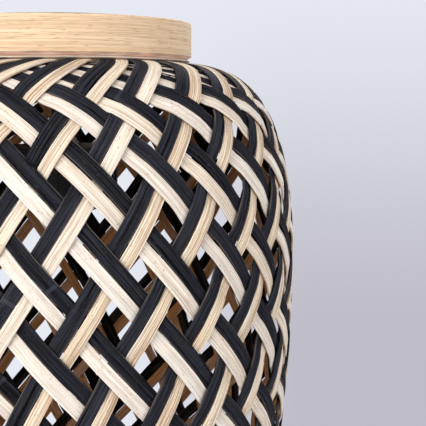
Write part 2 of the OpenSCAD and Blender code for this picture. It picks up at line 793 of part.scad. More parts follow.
// Clear dome with a rim that turns in the housing, and lugs in its groove
module diffuser() {
    low = housing_low - dome_gap;
    dome_r = rim_r - 0.2;
    color("white") union() {
        rotate_extrude() polygon(concat(
            [[rim_r - rim_w, groove_z + groove_h + 0.3], [rim_r, groove_z + groove_h + 0.3], [rim_r, low],
             [housing_r - 0.4, low], [housing_r - 0.4, low - lip_t]],
            [for (a = [0:10:90]) [dome_r * cos(a), low - lip_t - (dome_h - lip_t) * sin(a)]],
            [for (a = [90:-10:0]) [(rim_r - rim_w) * cos(a), low - lip_t - (dome_h - lip_t - dome_t) * sin(a)]]
        ));
        for (i = [0:lug_count - 1])
            rotate([0, 0, 1 + 360 * i / lug_count])
                rotate_extrude(angle = lug_turn)
                    translate([rim_r - 0.5, groove_z + 0.3]) square([lug_out + 0.5, groove_h - 0.6]);
    }
}

ground_spike();
depth_collar();
foot_ferrule();
lower_pole();
coupling_sleeve();
sleeve_screws();
upper_pole();
pole_socket();
socket_screws();
clamp_screw();
clamp_knob();
base_disc();
bottom_hoop();
hoop_brads();
woven_body();
top_hoop();
wooden_cap();
window_gasket();
solar_cell();
solar_window();
window_bezel();
bezel_screws();
hanger_stem();
stem_nuts();
stem_washers();
lamp_housing();
battery();
battery_holder();
battery_contacts();
circuit_board();
board_parts();
switch_body();
light_diode();
reflector();
housing_screws();
solar_leads();
power_button();
diffuser();
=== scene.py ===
"""Looks of a garden torch with a woven bamboo head, built round its CAD frame.

Lengths are metres. The torch stands on the Z axis, with the ground at height 0
and its front towards -Y.
"""

from __future__ import annotations

import logging
import math
from dataclasses import dataclass, field
from enum import Enum
from typing import Any, Callable, Sequence, Union

import bpy
import numpy as np
from mathutils import Euler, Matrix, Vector

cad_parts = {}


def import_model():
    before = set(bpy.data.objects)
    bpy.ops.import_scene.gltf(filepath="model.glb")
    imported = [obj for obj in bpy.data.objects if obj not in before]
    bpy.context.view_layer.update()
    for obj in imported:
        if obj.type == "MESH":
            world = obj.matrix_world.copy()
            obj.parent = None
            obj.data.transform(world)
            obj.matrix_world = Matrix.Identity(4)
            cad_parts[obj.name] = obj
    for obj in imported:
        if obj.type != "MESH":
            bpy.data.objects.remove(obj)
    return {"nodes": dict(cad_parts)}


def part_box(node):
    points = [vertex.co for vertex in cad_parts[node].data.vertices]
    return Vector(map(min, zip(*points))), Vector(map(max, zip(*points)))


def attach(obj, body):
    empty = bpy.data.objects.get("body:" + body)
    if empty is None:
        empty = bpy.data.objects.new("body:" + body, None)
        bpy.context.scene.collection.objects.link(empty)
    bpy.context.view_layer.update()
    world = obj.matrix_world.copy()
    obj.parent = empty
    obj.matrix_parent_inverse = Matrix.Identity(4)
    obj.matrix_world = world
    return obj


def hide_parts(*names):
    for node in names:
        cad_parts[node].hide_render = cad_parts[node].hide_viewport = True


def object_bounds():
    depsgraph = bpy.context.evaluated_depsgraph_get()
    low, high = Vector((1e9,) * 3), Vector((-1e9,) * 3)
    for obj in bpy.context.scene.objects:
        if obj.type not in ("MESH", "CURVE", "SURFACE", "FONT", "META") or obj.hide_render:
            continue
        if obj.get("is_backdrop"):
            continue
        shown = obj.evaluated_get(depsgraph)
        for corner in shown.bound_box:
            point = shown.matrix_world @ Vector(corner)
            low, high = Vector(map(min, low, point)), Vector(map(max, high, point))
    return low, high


LOG = logging.getLogger("torch")
MM = 0.001
TURN = 2.0 * math.pi
# Room between the woven body and the cap, and between it and the base
NECK_GAP = 0.6 * MM
# Sockets of a Mix node while it mixes colours: share, both colours, result
MIX_SHARE, MIX_FIRST, MIX_SECOND, MIX_RESULT = 0, 6, 7, 2
# Edges that bend by more degrees than this are shaded sharp
STRIP_SHARP, STEM_SHARP, RING_SHARP = 35.0, 38.0, 60.0

Colour = tuple[float, float, float, float]
Material = bpy.types.Material
Piece = bpy.types.Object
Sockets = dict[str, Any]


def paint(red: int, green: int, blue: int) -> Colour:
    """Turns a colour of 0 to 255 as seen on a screen into linear light.

    Args:
        red: Red share, 0 to 255.
        green: Green share, 0 to 255.
        blue: Blue share, 0 to 255.

    Returns:
        The linear colour with an alpha of 1.
    """

    def linear(share: float) -> float:
        """Undoes the screen's curve for one share of 0 to 1."""
        return share / 12.92 if share <= 0.04045 else ((share + 0.055) / 1.055) ** 2.4

    return (*(linear(c / 255.0) for c in (red, green, blue)), 1.0)


# --- Shader maths


def math_method(operation: str, turned: bool = False) -> Callable[[Wire, Value], Wire]:
    """Makes a method of Wire that adds a Math node.

    Args:
        operation: The node's operation.
        turned: Whether the other value comes first.

    Returns:
        The method.
    """

    def method(self: Wire, other: Value) -> Wire:
        """Does the operation on this value and another one."""
        return self.graph.maths(operation, *((other, self) if turned else (self, other)))

    return method


class Wire:
    """One shader socket. Used in an expression, it adds Math nodes."""

    __add__ = math_method("ADD")
    __radd__ = math_method("ADD", turned=True)
    __sub__ = math_method("SUBTRACT")
    __rsub__ = math_method("SUBTRACT", turned=True)
    __mul__ = math_method("MULTIPLY")
    __rmul__ = math_method("MULTIPLY", turned=True)
    __truediv__ = math_method("DIVIDE")
    most = math_method("MAXIMUM")
    least = math_method("MINIMUM")

    def __init__(self, graph: Graph, socket: bpy.types.NodeSocket) -> None:
        """Keeps the socket and the graph that it belongs to."""
        self.graph = graph
        self.socket = socket

    def __abs__(self) -> Wire:
        """Size of the value without its sign."""
        return self.graph.maths("ABSOLUTE", self)

    def fraction(self) -> Wire:
        """Part of the value after its whole number."""
        return self.graph.maths("FRACT", self)

    def ease(self, low: float, high: float) -> Wire:
        """Smooth step from 0 at low to 1 at high; low may be above high."""
        if low > high:
            return 1.0 - self.ease(high, low)
        inputs = {0: self, 1: low, 2: high}
        return self.graph.node("ShaderNodeMapRange", inputs, interpolation_type="SMOOTHSTEP")

    def middle(self, wide: float, fine: float) -> Wire:
        """0 where the value is further than wide from a half, 1 where it is nearer than fine.

        On a stretched noise this gives thin lines.
        """
        return abs(self - 0.5).ease(wide, fine)


Value = Union[Wire, float]


class Graph:
    """The node tree of a material or of the world."""

    def __init__(self, tree: bpy.types.NodeTree) -> None:
        """Empties the tree."""
        self.tree = tree
        tree.nodes.clear()

    def node(self, kind: str, inputs: dict[Any, Any], output: Any = 0, **settings: Any) -> Wire:
        """Adds one node.

        Args:
            kind: The node's type.
            inputs: Socket name or number to a value or a wire.
            output: Name or number of the output that is returned.
            settings: Its properties, set before the sockets.

        Returns:
            The chosen output as a wire.
        """
        made = self.tree.nodes.new(kind)
        for key, value in settings.items():
            setattr(made, key, value)
        for key, value in inputs.items():
            if isinstance(value, Wire):
                self.tree.links.new(value.socket, made.inputs[key])
            else:
                made.inputs[key].default_value = value
        return Wire(self, made.outputs[output])

    def end(self, kind: str, shader: Wire) -> None:
        """Adds the tree's output node and links a shader to it."""
        self.tree.links.new(shader.socket, self.tree.nodes.new(kind).inputs[0])

    def maths(self, operation: str, *values: Value) -> Wire:
        """Adds a Math node for one operation on one or two values."""
        return self.node("ShaderNodeMath", dict(enumerate(values)), operation=operation)

    def place(self, kind: str = "Object") -> Wire:
        """Coordinates of one kind."""
        return self.node("ShaderNodeTexCoord", {}, kind)

    def parts(self, vector: Wire) -> tuple[Wire, Wire, Wire]:
        """Splits a vector into its three values."""
        x = self.node("ShaderNodeSeparateXYZ", {0: vector})
        outputs = x.socket.node.outputs
        return x, Wire(self, outputs[1]), Wire(self, outputs[2])

    def join(self, x: Value, y: Value, z: Value) -> Wire:
        """Makes a vector of three values."""
        return self.node("ShaderNodeCombineXYZ", {0: x, 1: y, 2: z})

    def attribute(self, name: str) -> Wire:
        """Reads a number that the mesh stores at its points."""
        return self.node("ShaderNodeAttribute", {}, "Fac", attribute_name=name)

    def noise(self, vector: Wire, detail: float, rough: float = 0.5, scale: float = 1.0) -> Wire:
        """Smooth noise of 0 to 1 over a vector."""
        inputs = {"Vector": vector, "Scale": scale, "Detail": detail, "Roughness": rough}
        return self.node("ShaderNodeTexNoise", inputs)

    def grain(
        self, x: Value, y: Value, z: Value, detail: float = 2.0, rough: float = 0.5
    ) -> Wire:
        """Smooth noise of 0 to 1 over three values."""
        return self.noise(self.join(x, y, z), detail, rough)

    def cells(self, vector: Wire, scale: float, output: str = "Distance") -> Wire:
        """Cell pattern over a vector."""
        return self.node("ShaderNodeTexVoronoi", {"Vector": vector, "Scale": scale}, output)

    def mix(self, share: Value, first: Any, second: Any, blend: str = "MIX") -> Wire:
        """Mixes two colours, with share of the second one."""
        inputs = {MIX_SHARE: share, MIX_FIRST: first, MIX_SECOND: second}
        return self.node("ShaderNodeMix", inputs, MIX_RESULT, data_type="RGBA", blend_type=blend)

    def coats(self, colour: Any, *coats: tuple[Value, Any]) -> Wire:
        """Mixes further colours over a first one, each given as (share, colour)."""
        for share, coat in coats:
            colour = self.mix(share, colour, coat)
        return colour

    def bump(self, height: Wire, strength: float, depth: float) -> Wire:
        """Turns a height of 0 to 1 into a normal, where 1 stands for depth metres."""
        inputs = {"Strength": strength, "Distance": depth, "Height": height}
        return self.node("ShaderNodeBump", inputs)


# --- Finishes


@dataclass(frozen=True)
class Finish:
    """A finish that can make its material. Its name is the material's name."""

    name: str

    def sockets(self, g: Graph) -> Sockets:
        """Adds the finish's own nodes to a graph.

        Args:
            g: The material's graph.

        Returns:
            What goes into the shader's sockets, by their names with _ for a space.
        """
        raise NotImplementedError

    def make(self) -> Material:
        """Builds the material."""
        material = bpy.data.materials.new(self.name)
        material.use_nodes = True
        g = Graph(material.node_tree)
        inputs = {
            name.replace("_", " ").title().replace("Ior", "IOR"): value
            for name, value in self.sockets(g).items()
        }
        g.end("ShaderNodeOutputMaterial", g.node("ShaderNodeBsdfPrincipled", inputs))
        return material


@dataclass(frozen=True)
class StripFinish(Finish):
    """Split bamboo strip: fibres along its length, painted highlights along its edges and a rawer
    inner face.

    A strip's tone of 0 to 1 turns its face from face to warm and makes its fibres plainer.
    """

    face: Colour
    warm: Colour
    fibre: Colour
    inner: Colour
    inner_fibre: Colour
    # edge is the colour of the painted highlight along the strip's edges, mixed in at edge_share
    edge: Colour
    edge_share: float
    line_share: float
    streak_share: float
    shade: float
    gloss: float
    roughness: float
    joint_gap: float = 0.31

    def sockets(self, g: Graph) -> Sockets:
        """Works on the strip's own along, across, rim, outer and tone values."""
        along, across = g.attribute("along"), g.attribute("across")
        tone, outer, rim = g.attribute("tone"), g.attribute("outer"), g.attribute("rim")
        seed = tone * 241.0
        hair = g.grain(along * 30.0, across * 2400.0, seed)
        band = g.grain(along * 7.0, across * 1500.0, seed + 9.0)
        broad = g.grain(along * 9.0, across * 300.0, seed + 17.0)
        patch = g.grain(along * 38.0, across * 420.0, seed + 5.0, 3.0, 0.6)
        specks = g.grain(along * 700.0, across * 1300.0, seed + 31.0, 1.0)
        vein, thread = band.middle(0.050, 0.012), hair.middle(0.070, 0.015)
        lines = (vein * (0.30 + 0.70 * tone)).most(thread * (0.35 + 0.30 * tone))
        warmth = (tone.ease(0.25, 0.75) * 0.75 + broad.ease(0.35, 0.70) * 0.25).least(1.0)
        face = g.coats(
            self.face,
            (warmth, self.warm),
            (band.ease(0.50, 0.64) * patch.ease(0.25, 0.60) * self.streak_share, self.fibre),
            (lines * self.line_share, self.fibre),
            (specks.ease(0.66, 0.74) * self.line_share * 0.5, self.fibre),
        )
        # Painted highlight: a pale colour in broken patches along the strip's edges, stronger on
        # the outer face
        edge_highlight = rim.ease(0.88, 1.0) * patch.ease(0.44, 0.60) * (0.3 + outer * 0.7)
        # A faint joint of the bamboo crosses each strip at even distances
        joint = abs((along / self.joint_gap + tone * 3.0).fraction() - 0.5) * self.joint_gap
        colour = g.coats(
            self.inner,
            (band.ease(0.40, 0.62), self.inner_fibre),
            (thread * 0.5, self.inner_fibre),
            (outer.ease(0.05, 0.35), face),
            (edge_highlight * self.edge_share, self.edge),
            (joint.ease(1.0 * MM, 0.4 * MM) * 0.35, self.fibre),
        )
        dull = 1.0 - self.shade * patch.ease(0.3, 0.7)
        height = hair * 0.5 - vein * 0.6 - thread * 0.3 + band * 0.3
        height = height - joint.ease(1.6 * MM, 0.2 * MM) * 0.4
        return dict(
            base_color=g.mix(1.0, colour, g.join(dull, dull, dull), "MULTIPLY"),
            roughness=self.roughness + 0.16 * hair - 0.06 * broad,
            normal=g.bump(height, 0.6, 0.16 * MM),
            specular_ior_level=self.gloss,
        )


@dataclass(frozen=True)
class TurnedWood(Finish):
    """Pale close-grained disc: its rim's grain lies level and its faces' grain along X.

    The disc spans rim_low to rim_high in height. From shade_low to shade_high it has a band of
    pink glue, brightened as painted light against the shade on the downward bevel, with pale glue
    streaks painted as sheen.
    """

    light: Colour
    dark: Colour
    pore: Colour
    # Band colours: pink glue brightened as painted light, and gloss, a painted sheen for its
    # streaks
    glue_painted_light: Colour
    gloss: Colour
    rim_low: float
    rim_high: float
    shade_low: float
    shade_high: float

    def sockets(self, g: Graph) -> Sockets:
        """Works on Object coordinates."""
        x, y, z = g.parts(g.place())
        flat = z.ease(self.rim_high - 0.9 * MM, self.rim_high - 0.2 * MM)
        flat = flat.most(z.ease(self.rim_low + 0.4 * MM, self.rim_low + 0.1 * MM))

        def blend(rim: Wire, faces: Wire) -> Wire:
            """One pattern on the rim and another on the flat faces."""
            return rim + flat * (faces - rim)

        bend = g.grain(x * 16.0, y * 16.0, z * 30.0)
        level = z + bend * 0.6 * MM
        grain = blend(
            g.grain(x * 14.4, y * 14.4, level * 1600.0, 3.0, 0.55),
            g.grain(x * 10.0, y * 420.0 + bend * 1.5, 0.5, 3.0, 0.55),
        )
        hair = blend(
            g.grain(x * 24.0, y * 24.0, level * 2600.0), g.grain(x * 30.0, y * 1500.0, 0.5)
        )
        pores = blend(
            g.grain(x * 190.0, y * 190.0, z * 2400.0, 1.0),
            g.grain(x * 110.0, y * 1900.0, 0.5, 1.0),
        ).ease(0.64, 0.70)
        cloud = g.grain(x * 26.0, y * 26.0, z * 60.0)
        line = grain.middle(0.030, 0.006)
        low = z.ease(self.shade_low - 0.3 * MM, self.shade_low + 0.3 * MM)
        high = z.ease(self.shade_high + 0.3 * MM, self.shade_high - 0.3 * MM)
        glue_sheen = g.grain(x * 70.0, y * 70.0, z * 1500.0, 3.0, 0.6)
        colour = g.coats(
            self.light,
            (grain.ease(0.30, 0.70), self.dark),
            (cloud.ease(0.40, 0.70) * 0.35, self.light),
            (line * 0.40, self.pore),
            (hair.middle(0.05, 0.012) * 0.20, self.pore),
            (pores * 0.45, self.pore),
            # Painted light: the bevel band's pink glue colour is brightened to stand in for light
            # on its downward face, and its glue streaks mix in gloss, a painted sheen
            (low * high * 0.92, g.mix(glue_sheen.ease(0.46, 0.62) * 0.8, self.glue_painted_light, self.gloss)),
        )
        return dict(
            base_color=colour,
            roughness=0.50 + 0.18 * hair,
            normal=g.bump(grain * 0.3 + hair * 0.3 - line * 0.5 - pores, 0.5, 0.12 * MM),
            specular_ior_level=0.35,
        )


@dataclass(frozen=True)
class HoopBamboo(Finish):
    """Bent split bamboo: fibres run round the hoop, so they vary only with height and radius."""

    face: Colour
    fibre: Colour

    def sockets(self, g: Graph) -> Sockets:
        """Works on Object coordinates."""
        x, y, z = g.parts(g.place())
        line = g.grain(x * 12.0, y * 12.0, z * 1800.0, 3.0)
        wide = g.grain(x * 8.0, y * 8.0, z * 320.0)
        shares = (line.ease(0.42, 0.7), wide.ease(0.5, 0.8) * 0.5)
        return dict(
            base_color=g.coats(self.face, *((share, self.fibre) for share in shares)),
            roughness=0.5 + 0.2 * line,
            normal=g.bump(line, 0.5, 0.1 * MM),
        )


@dataclass(frozen=True)
class CulmBamboo(Finish):
    """Whole bamboo stem with a scar and a waxy band at each joint."""

    skin: Colour
    ripe: Colour
    fleck: Colour
    scar: Colour
    wax: Colour
    core: Colour

    def sockets(self, g: Graph) -> Sockets:
        """Works on the stem's joint and core values and on Object coordinates."""
        place = g.place()
        x, y, z = g.parts(place)
        # joint is the height above the nearest scar, in metres
        joint, core = g.attribute("joint"), g.attribute("core")
        streak = g.grain(x * 420.0, y * 420.0, z * 5.0, 3.0, 0.6)
        hair = g.grain(x * 1900.0, y * 1900.0, z * 16.0)
        cloud = g.grain(x * 40.0, y * 40.0, z * 9.0, 3.0)
        flecks = g.grain(x * 520.0, y * 520.0, z * 150.0, 3.0, 0.7).ease(0.66, 0.76)
        vein = hair.middle(0.05, 0.012)
        ragged = joint + (streak - 0.5) * 3.0 * MM
        band = ragged.ease(-11.0 * MM, -4.0 * MM) * joint.ease(0.2 * MM, -0.6 * MM)
        stain = ragged.ease(0.0, 2.0 * MM) * ragged.ease(13.0 * MM, 4.0 * MM)
        ring = abs(joint).ease(1.5 * MM, 0.5 * MM)
        cut = g.cells(place, 900.0).ease(0.2, 0.5)
        colour = g.coats(
            self.skin,
            (cloud.ease(0.36, 0.68), self.ripe),
            (streak.ease(0.50, 0.70) * 0.6, self.ripe),
            (vein * 0.35, self.fleck),
            (flecks * cloud.ease(0.36, 0.56) * 0.75, self.fleck),
            (band * 0.65, self.wax),
            (stain * 0.5, self.fleck),
            (ring * 0.85, self.scar),
            (core, g.mix(cut * 0.6, self.core, self.fleck)),
        )
        height = hair * 0.3 + streak * 0.5 - vein * 0.3 - flecks * 0.2
        return dict(
            base_color=colour,
            roughness=0.34 + 0.16 * streak + 0.25 * ring + 0.25 * core,
            normal=g.bump(height, 0.35, 0.14 * MM),
        )


@dataclass(frozen=True)
class CoatedMetal(Finish):
    """Powder coat: a fine orange-peel skin, with faint dust."""

    colour: Colour
    dust: Colour

    def sockets(self, g: Graph) -> Sockets:
        """Works on Object coordinates."""
        place = g.place()
        cloud = g.noise(place, 4.0, 0.6, 60.0)
        return dict(
            base_color=g.mix(cloud.ease(0.45, 0.8) * 0.35, self.colour, self.dust),
            roughness=0.42 + 0.18 * cloud,
            normal=g.bump(g.noise(place, 2.0, 0.5, 1500.0), 0.35, 0.08 * MM),
            specular_ior_level=0.5,
        )


@dataclass(frozen=True)
class GroundSteel(Finish):
    """Bare steel with lengthwise grinding lines, and earth stains below a height."""

    colour: Colour
    stain: Colour
    stain_top: float
    roughness: float

    def sockets(self, g: Graph) -> Sockets:
        """Works on Object coordinates."""
        place = g.place()
        x, y, z = g.parts(place)
        lines = g.grain(x * 2600.0, y * 2600.0, z * 60.0)
        cloud = g.noise(place, 4.0, 0.65, 90.0)
        spots = g.noise(place, 3.0, 0.7, 420.0)
        depth = (z + cloud * 0.05).ease(self.stain_top, self.stain_top - 0.07)
        dirt = (depth * 0.75 + 0.12) * spots.ease(0.40, 0.66)
        shares = (lines.ease(0.3, 0.8) * 0.3, dirt)
        return dict(
            base_color=g.coats(self.colour, *((share, self.stain) for share in shares)),
            metallic=1.0 - 0.6 * dirt,
            roughness=self.roughness + 0.2 * lines + 0.3 * dirt,
            normal=g.bump(lines * 0.5 + spots * dirt, 0.4, 0.06 * MM),
        )


@dataclass(frozen=True)
class MouldedPlastic(Finish):
    """Moulded plastic or rubber with a spark-eroded grain."""

    colour: Colour
    bloom: Colour
    roughness: float

    def sockets(self, g: Graph) -> Sockets:
        """Works on Object coordinates."""
        place = g.place()
        grain = g.noise(place, 2.0, 0.6, 2200.0)
        cloud = g.noise(place, 3.0, 0.6, 70.0)
        return dict(
            base_color=g.mix(cloud.ease(0.4, 0.8) * 0.5, self.colour, self.bloom),
            roughness=self.roughness + 0.14 * cloud - 0.04 * grain,
            normal=g.bump(grain, 0.3, 0.05 * MM),
        )


@dataclass(frozen=True)
class SolarSilicon(Finish):
    """Solar cell: blue crystals under thin silver fingers and wider bars."""

    dark: Colour
    light: Colour
    silver: Colour
    finger_pitch: float = 1.9 * MM
    bar_pitch: float = 15.6 * MM

    def sockets(self, g: Graph) -> Sockets:
        """Works on Object coordinates."""
        x, y, _ = g.parts(g.place())
        tint = g.parts(g.cells(g.join(x, y, 0.0), 260.0, "Color"))[0]
        finger = (y / self.finger_pitch).fraction().middle(0.06, 0.03)
        bar = (x / self.bar_pitch + 0.5).fraction().middle(0.035, 0.028)
        lines = finger.most(bar)
        colour = g.coats(
            self.dark, (tint.ease(0.0, 1.0) * 0.6, self.light), (lines * 0.85, self.silver)
        )
        return dict(base_color=colour, metallic=lines * 0.7, roughness=0.22 + 0.12 * tint)


@dataclass(frozen=True)
class ClearCover(Finish):
    """Clear or frosted plastic, with a faint cloud in its roughness."""

    tint: Colour
    roughness: float
    clear: float
    index: float = 1.49

    def sockets(self, g: Graph) -> Sockets:
        """Works on Object coordinates."""
        return dict(
            base_color=self.tint,
            roughness=self.roughness + 0.05 * g.noise(g.place(), 2.0, 0.5, 160.0),
            transmission_weight=self.clear,
            ior=self.index,
        )


@dataclass(frozen=True)
class CircuitBoard(Finish):
    """Board with copper tracks under a solder mask."""

    mask: Colour
    track: Colour
    track_pitch: float = 2.4 * MM

    def sockets(self, g: Graph) -> Sockets:
        """Works on Object coordinates."""
        x, y, _ = g.parts(g.place())
        rows = (y / self.track_pitch).fraction().middle(0.22, 0.16)
        breaks = g.grain(x * 160.0, y * 420.0, 0.0, 0.0).ease(0.44, 0.5)
        colour = g.mix(rows * breaks, self.mask, self.track)
        return dict(base_color=colour, roughness=0.32 + 0.1 * breaks)


@dataclass(frozen=True)
class LeadCover(Finish):
    """Insulation of the two leads: one colour on each side of the axis."""

    left: Colour
    right: Colour

    def sockets(self, g: Graph) -> Sockets:
        """Works on Object coordinates."""
        place = g.place()
        colour = g.mix(g.parts(place)[0].ease(-0.1 * MM, 0.1 * MM), self.left, self.right)
        return dict(base_color=colour, roughness=0.35 + 0.15 * g.noise(place, 2.0, 0.5, 900.0))


@dataclass(frozen=True)
class FloorPaint(Finish):
    """Dull paint with broad clouds of a second colour."""

    colour: Colour
    cloud: Colour

    def sockets(self, g: Graph) -> Sockets:
        """Works on Object coordinates."""
        share = g.noise(g.place(), 2.0, 0.5, 3.0) * 0.5
        return dict(base_color=g.mix(share, self.colour, self.cloud), roughness=0.8)


# --- Meshes


def grid_faces(rows: int, columns: int, endless: bool = False) -> np.ndarray:
    """Quads of a tube of rows rings with columns points each, closed round the ring.

    Args:
        rows: Number of rings.
        columns: Number of points in a ring.
        endless: Whether the last ring joins the first one.

    Returns:
        The corner indices, four to a face, seen from outside when the ring turns
        counter-clockwise as seen against the direction of the rows.
    """
    i = np.arange(rows if endless else rows - 1)[:, None] * columns
    after = (i + columns) % (rows * columns)
    j = np.arange(columns)[None, :]
    k = (j + 1) % columns
    return np.stack([i + j, i + k, after + k, after + j], axis=-1).reshape(-1, 4)


def placed(name: str, data: bpy.types.ID) -> Piece:
    """Makes an object of some data and links it into the scene."""
    made = bpy.data.objects.new(name, data)
    bpy.context.scene.collection.objects.link(made)
    return made


def solid_from_rings(name: str, rings: np.ndarray, values: dict[str, np.ndarray]) -> Piece:
    """Makes a closed object from rings of points, with flat ends.

    Args:
        name: The object's name.
        rings: Points as rows, columns, 3.
        values: Attribute name to rows by columns of numbers, kept at the points.

    Returns:
        The object, linked into the scene.
    """
    rows, columns = rings.shape[:2]
    quads = grid_faces(rows, columns)
    low = np.arange(columns)[::-1]
    high = (rows - 1) * columns + np.arange(columns)
    corners = np.concatenate([quads.ravel(), low, high]).astype(np.int32)
    totals = np.concatenate([np.full(len(quads), 4), [columns, columns]]).astype(np.int32)
    return made_object(name, rings.reshape(-1, 3), corners, totals, values, STRIP_SHARP)


def lathe(
    name: str, profile: np.ndarray, sides: int, swell: np.ndarray, values: dict[str, np.ndarray]
) -> Piece:
    """Turns a profile round the Z axis into a closed solid.

    The point at row i and column j is (r sin a, -r cos a, z), with r the profile's radius
    times the swell there and a the column's share of a turn. The first and last rows are
    on the axis and are one point each.

    Args:
        name: The object's name.
        profile: Radius and height of each row, from the lower pole to the upper pole.
        sides: Number of columns.
        swell: Rows by columns of factors on the radius.
        values: Attribute name to rows by columns of numbers.

    Returns:
        The object, linked into the scene.
    """
    a = np.arange(sides) / sides * TURN
    r = profile[1:-1, :1] * swell[1:-1]
    z = np.broadcast_to(profile[1:-1, 1:], r.shape)
    body = np.stack([r * np.sin(a), -r * np.cos(a), z], axis=-1)
    rows = len(body)
    quads = grid_faces(rows, sides)
    j = np.arange(sides)
    low, high = rows * sides, rows * sides + 1
    bottom = np.stack([np.full(sides, low), (j + 1) % sides, j], axis=-1)
    last = (rows - 1) * sides
    top = np.stack([np.full(sides, high), last + j, last + (j + 1) % sides], axis=-1)
    points = np.concatenate(
        [body.reshape(-1, 3), [[0.0, 0.0, profile[0, 1]], [0.0, 0.0, profile[-1, 1]]]]
    )
    corners = np.concatenate([quads.ravel(), bottom.ravel(), top.ravel()]).astype(np.int32)
    totals = np.concatenate([np.full(len(quads), 4), np.full(2 * sides, 3)]).astype(np.int32)
    kept = {
        key: np.concatenate([v[1:-1].ravel(), [v[0, 0], v[-1, 0]]]) for key, v in values.items()
    }
    return made_object(name, points, corners, totals, kept, STEM_SHARP)


def made_object(
    name: str,
    points: np.ndarray,
    corners: np.ndarray,
    totals: np.ndarray,
    values: dict[str, np.ndarray],
    sharp: float,
) -> Piece:
    """Puts arrays into a new mesh object.

    Args:
        name: The object's name.
        points: Number by 3 places.
        corners: Point index of every face corner.
        totals: Number of corners of each face.
        values: Attribute name to one number per point.
        sharp: Angle in degrees above which an edge is shaded sharp.

    Returns:
        The object, linked into the scene.
    """
    mesh = bpy.data.meshes.new(name)
    mesh.vertices.add(len(points))
    mesh.vertices.foreach_set("co", points.astype(np.float32).ravel())
    mesh.loops.add(len(corners))
    mesh.loops.foreach_set("vertex_index", corners)
    mesh.polygons.add(len(totals))
    starts = np.concatenate([[0], np.cumsum(totals)[:-1]]).astype(np.int32)
    mesh.polygons.foreach_set("loop_start", starts)
    mesh.update(calc_edges=True)
    mesh.validate()
    for key, numbers in values.items():
        layer = mesh.attributes.new(key, "FLOAT", "POINT")
        layer.data.foreach_set("value", numbers.astype(np.float32).ravel())
    mesh.shade_smooth()
    mesh.set_sharp_from_angle(angle=math.radians(sharp))
    return placed(name, mesh)


def dress(piece: Piece, material: Material) -> None:
    """Gives an object one material."""
    piece.data.materials.clear()
    piece.data.materials.append(material)


# --- Woven head


class Slant(Enum):
    """Which way a strip climbs, seen from outside."""

    RISING = "rising"
    FALLING = "falling"


class Dye(Enum):
    """Colour of a strip."""

    NATURAL = "natural"
    BLACK = "black"


@dataclass
class Meridian:
    """Middle line of the weave in a half plane, from the lower end to the upper end.

    Each step has its radius, its height, its outward normal, its distance down the curve
    from the upper neck, and how far it is into either neck, 0 to 1.
    """

    radius: np.ndarray
    height: np.ndarray
    normal_r: np.ndarray
    normal_z: np.ndarray
    down: np.ndarray
    neck: np.ndarray


@dataclass(frozen=True)
class Lay:
    """How one family of pairs winds round the head.

    start is the turn of pair 0 at the upper neck, in radians. leans is the tangent of the
    strips' lean away from the meridian at each of the distances in STATIONS. drift is the
    unevenness of single pairs, in radians.
    """

    start: float
    leans: Sequence[float]
    drift: dict[int, float]


# Distances down the curve from the upper neck, in head radii
STATIONS = (0.1, 0.2, 0.3, 0.42, 0.6, 0.85, 1.15, 1.5, 2.2, 2.8)


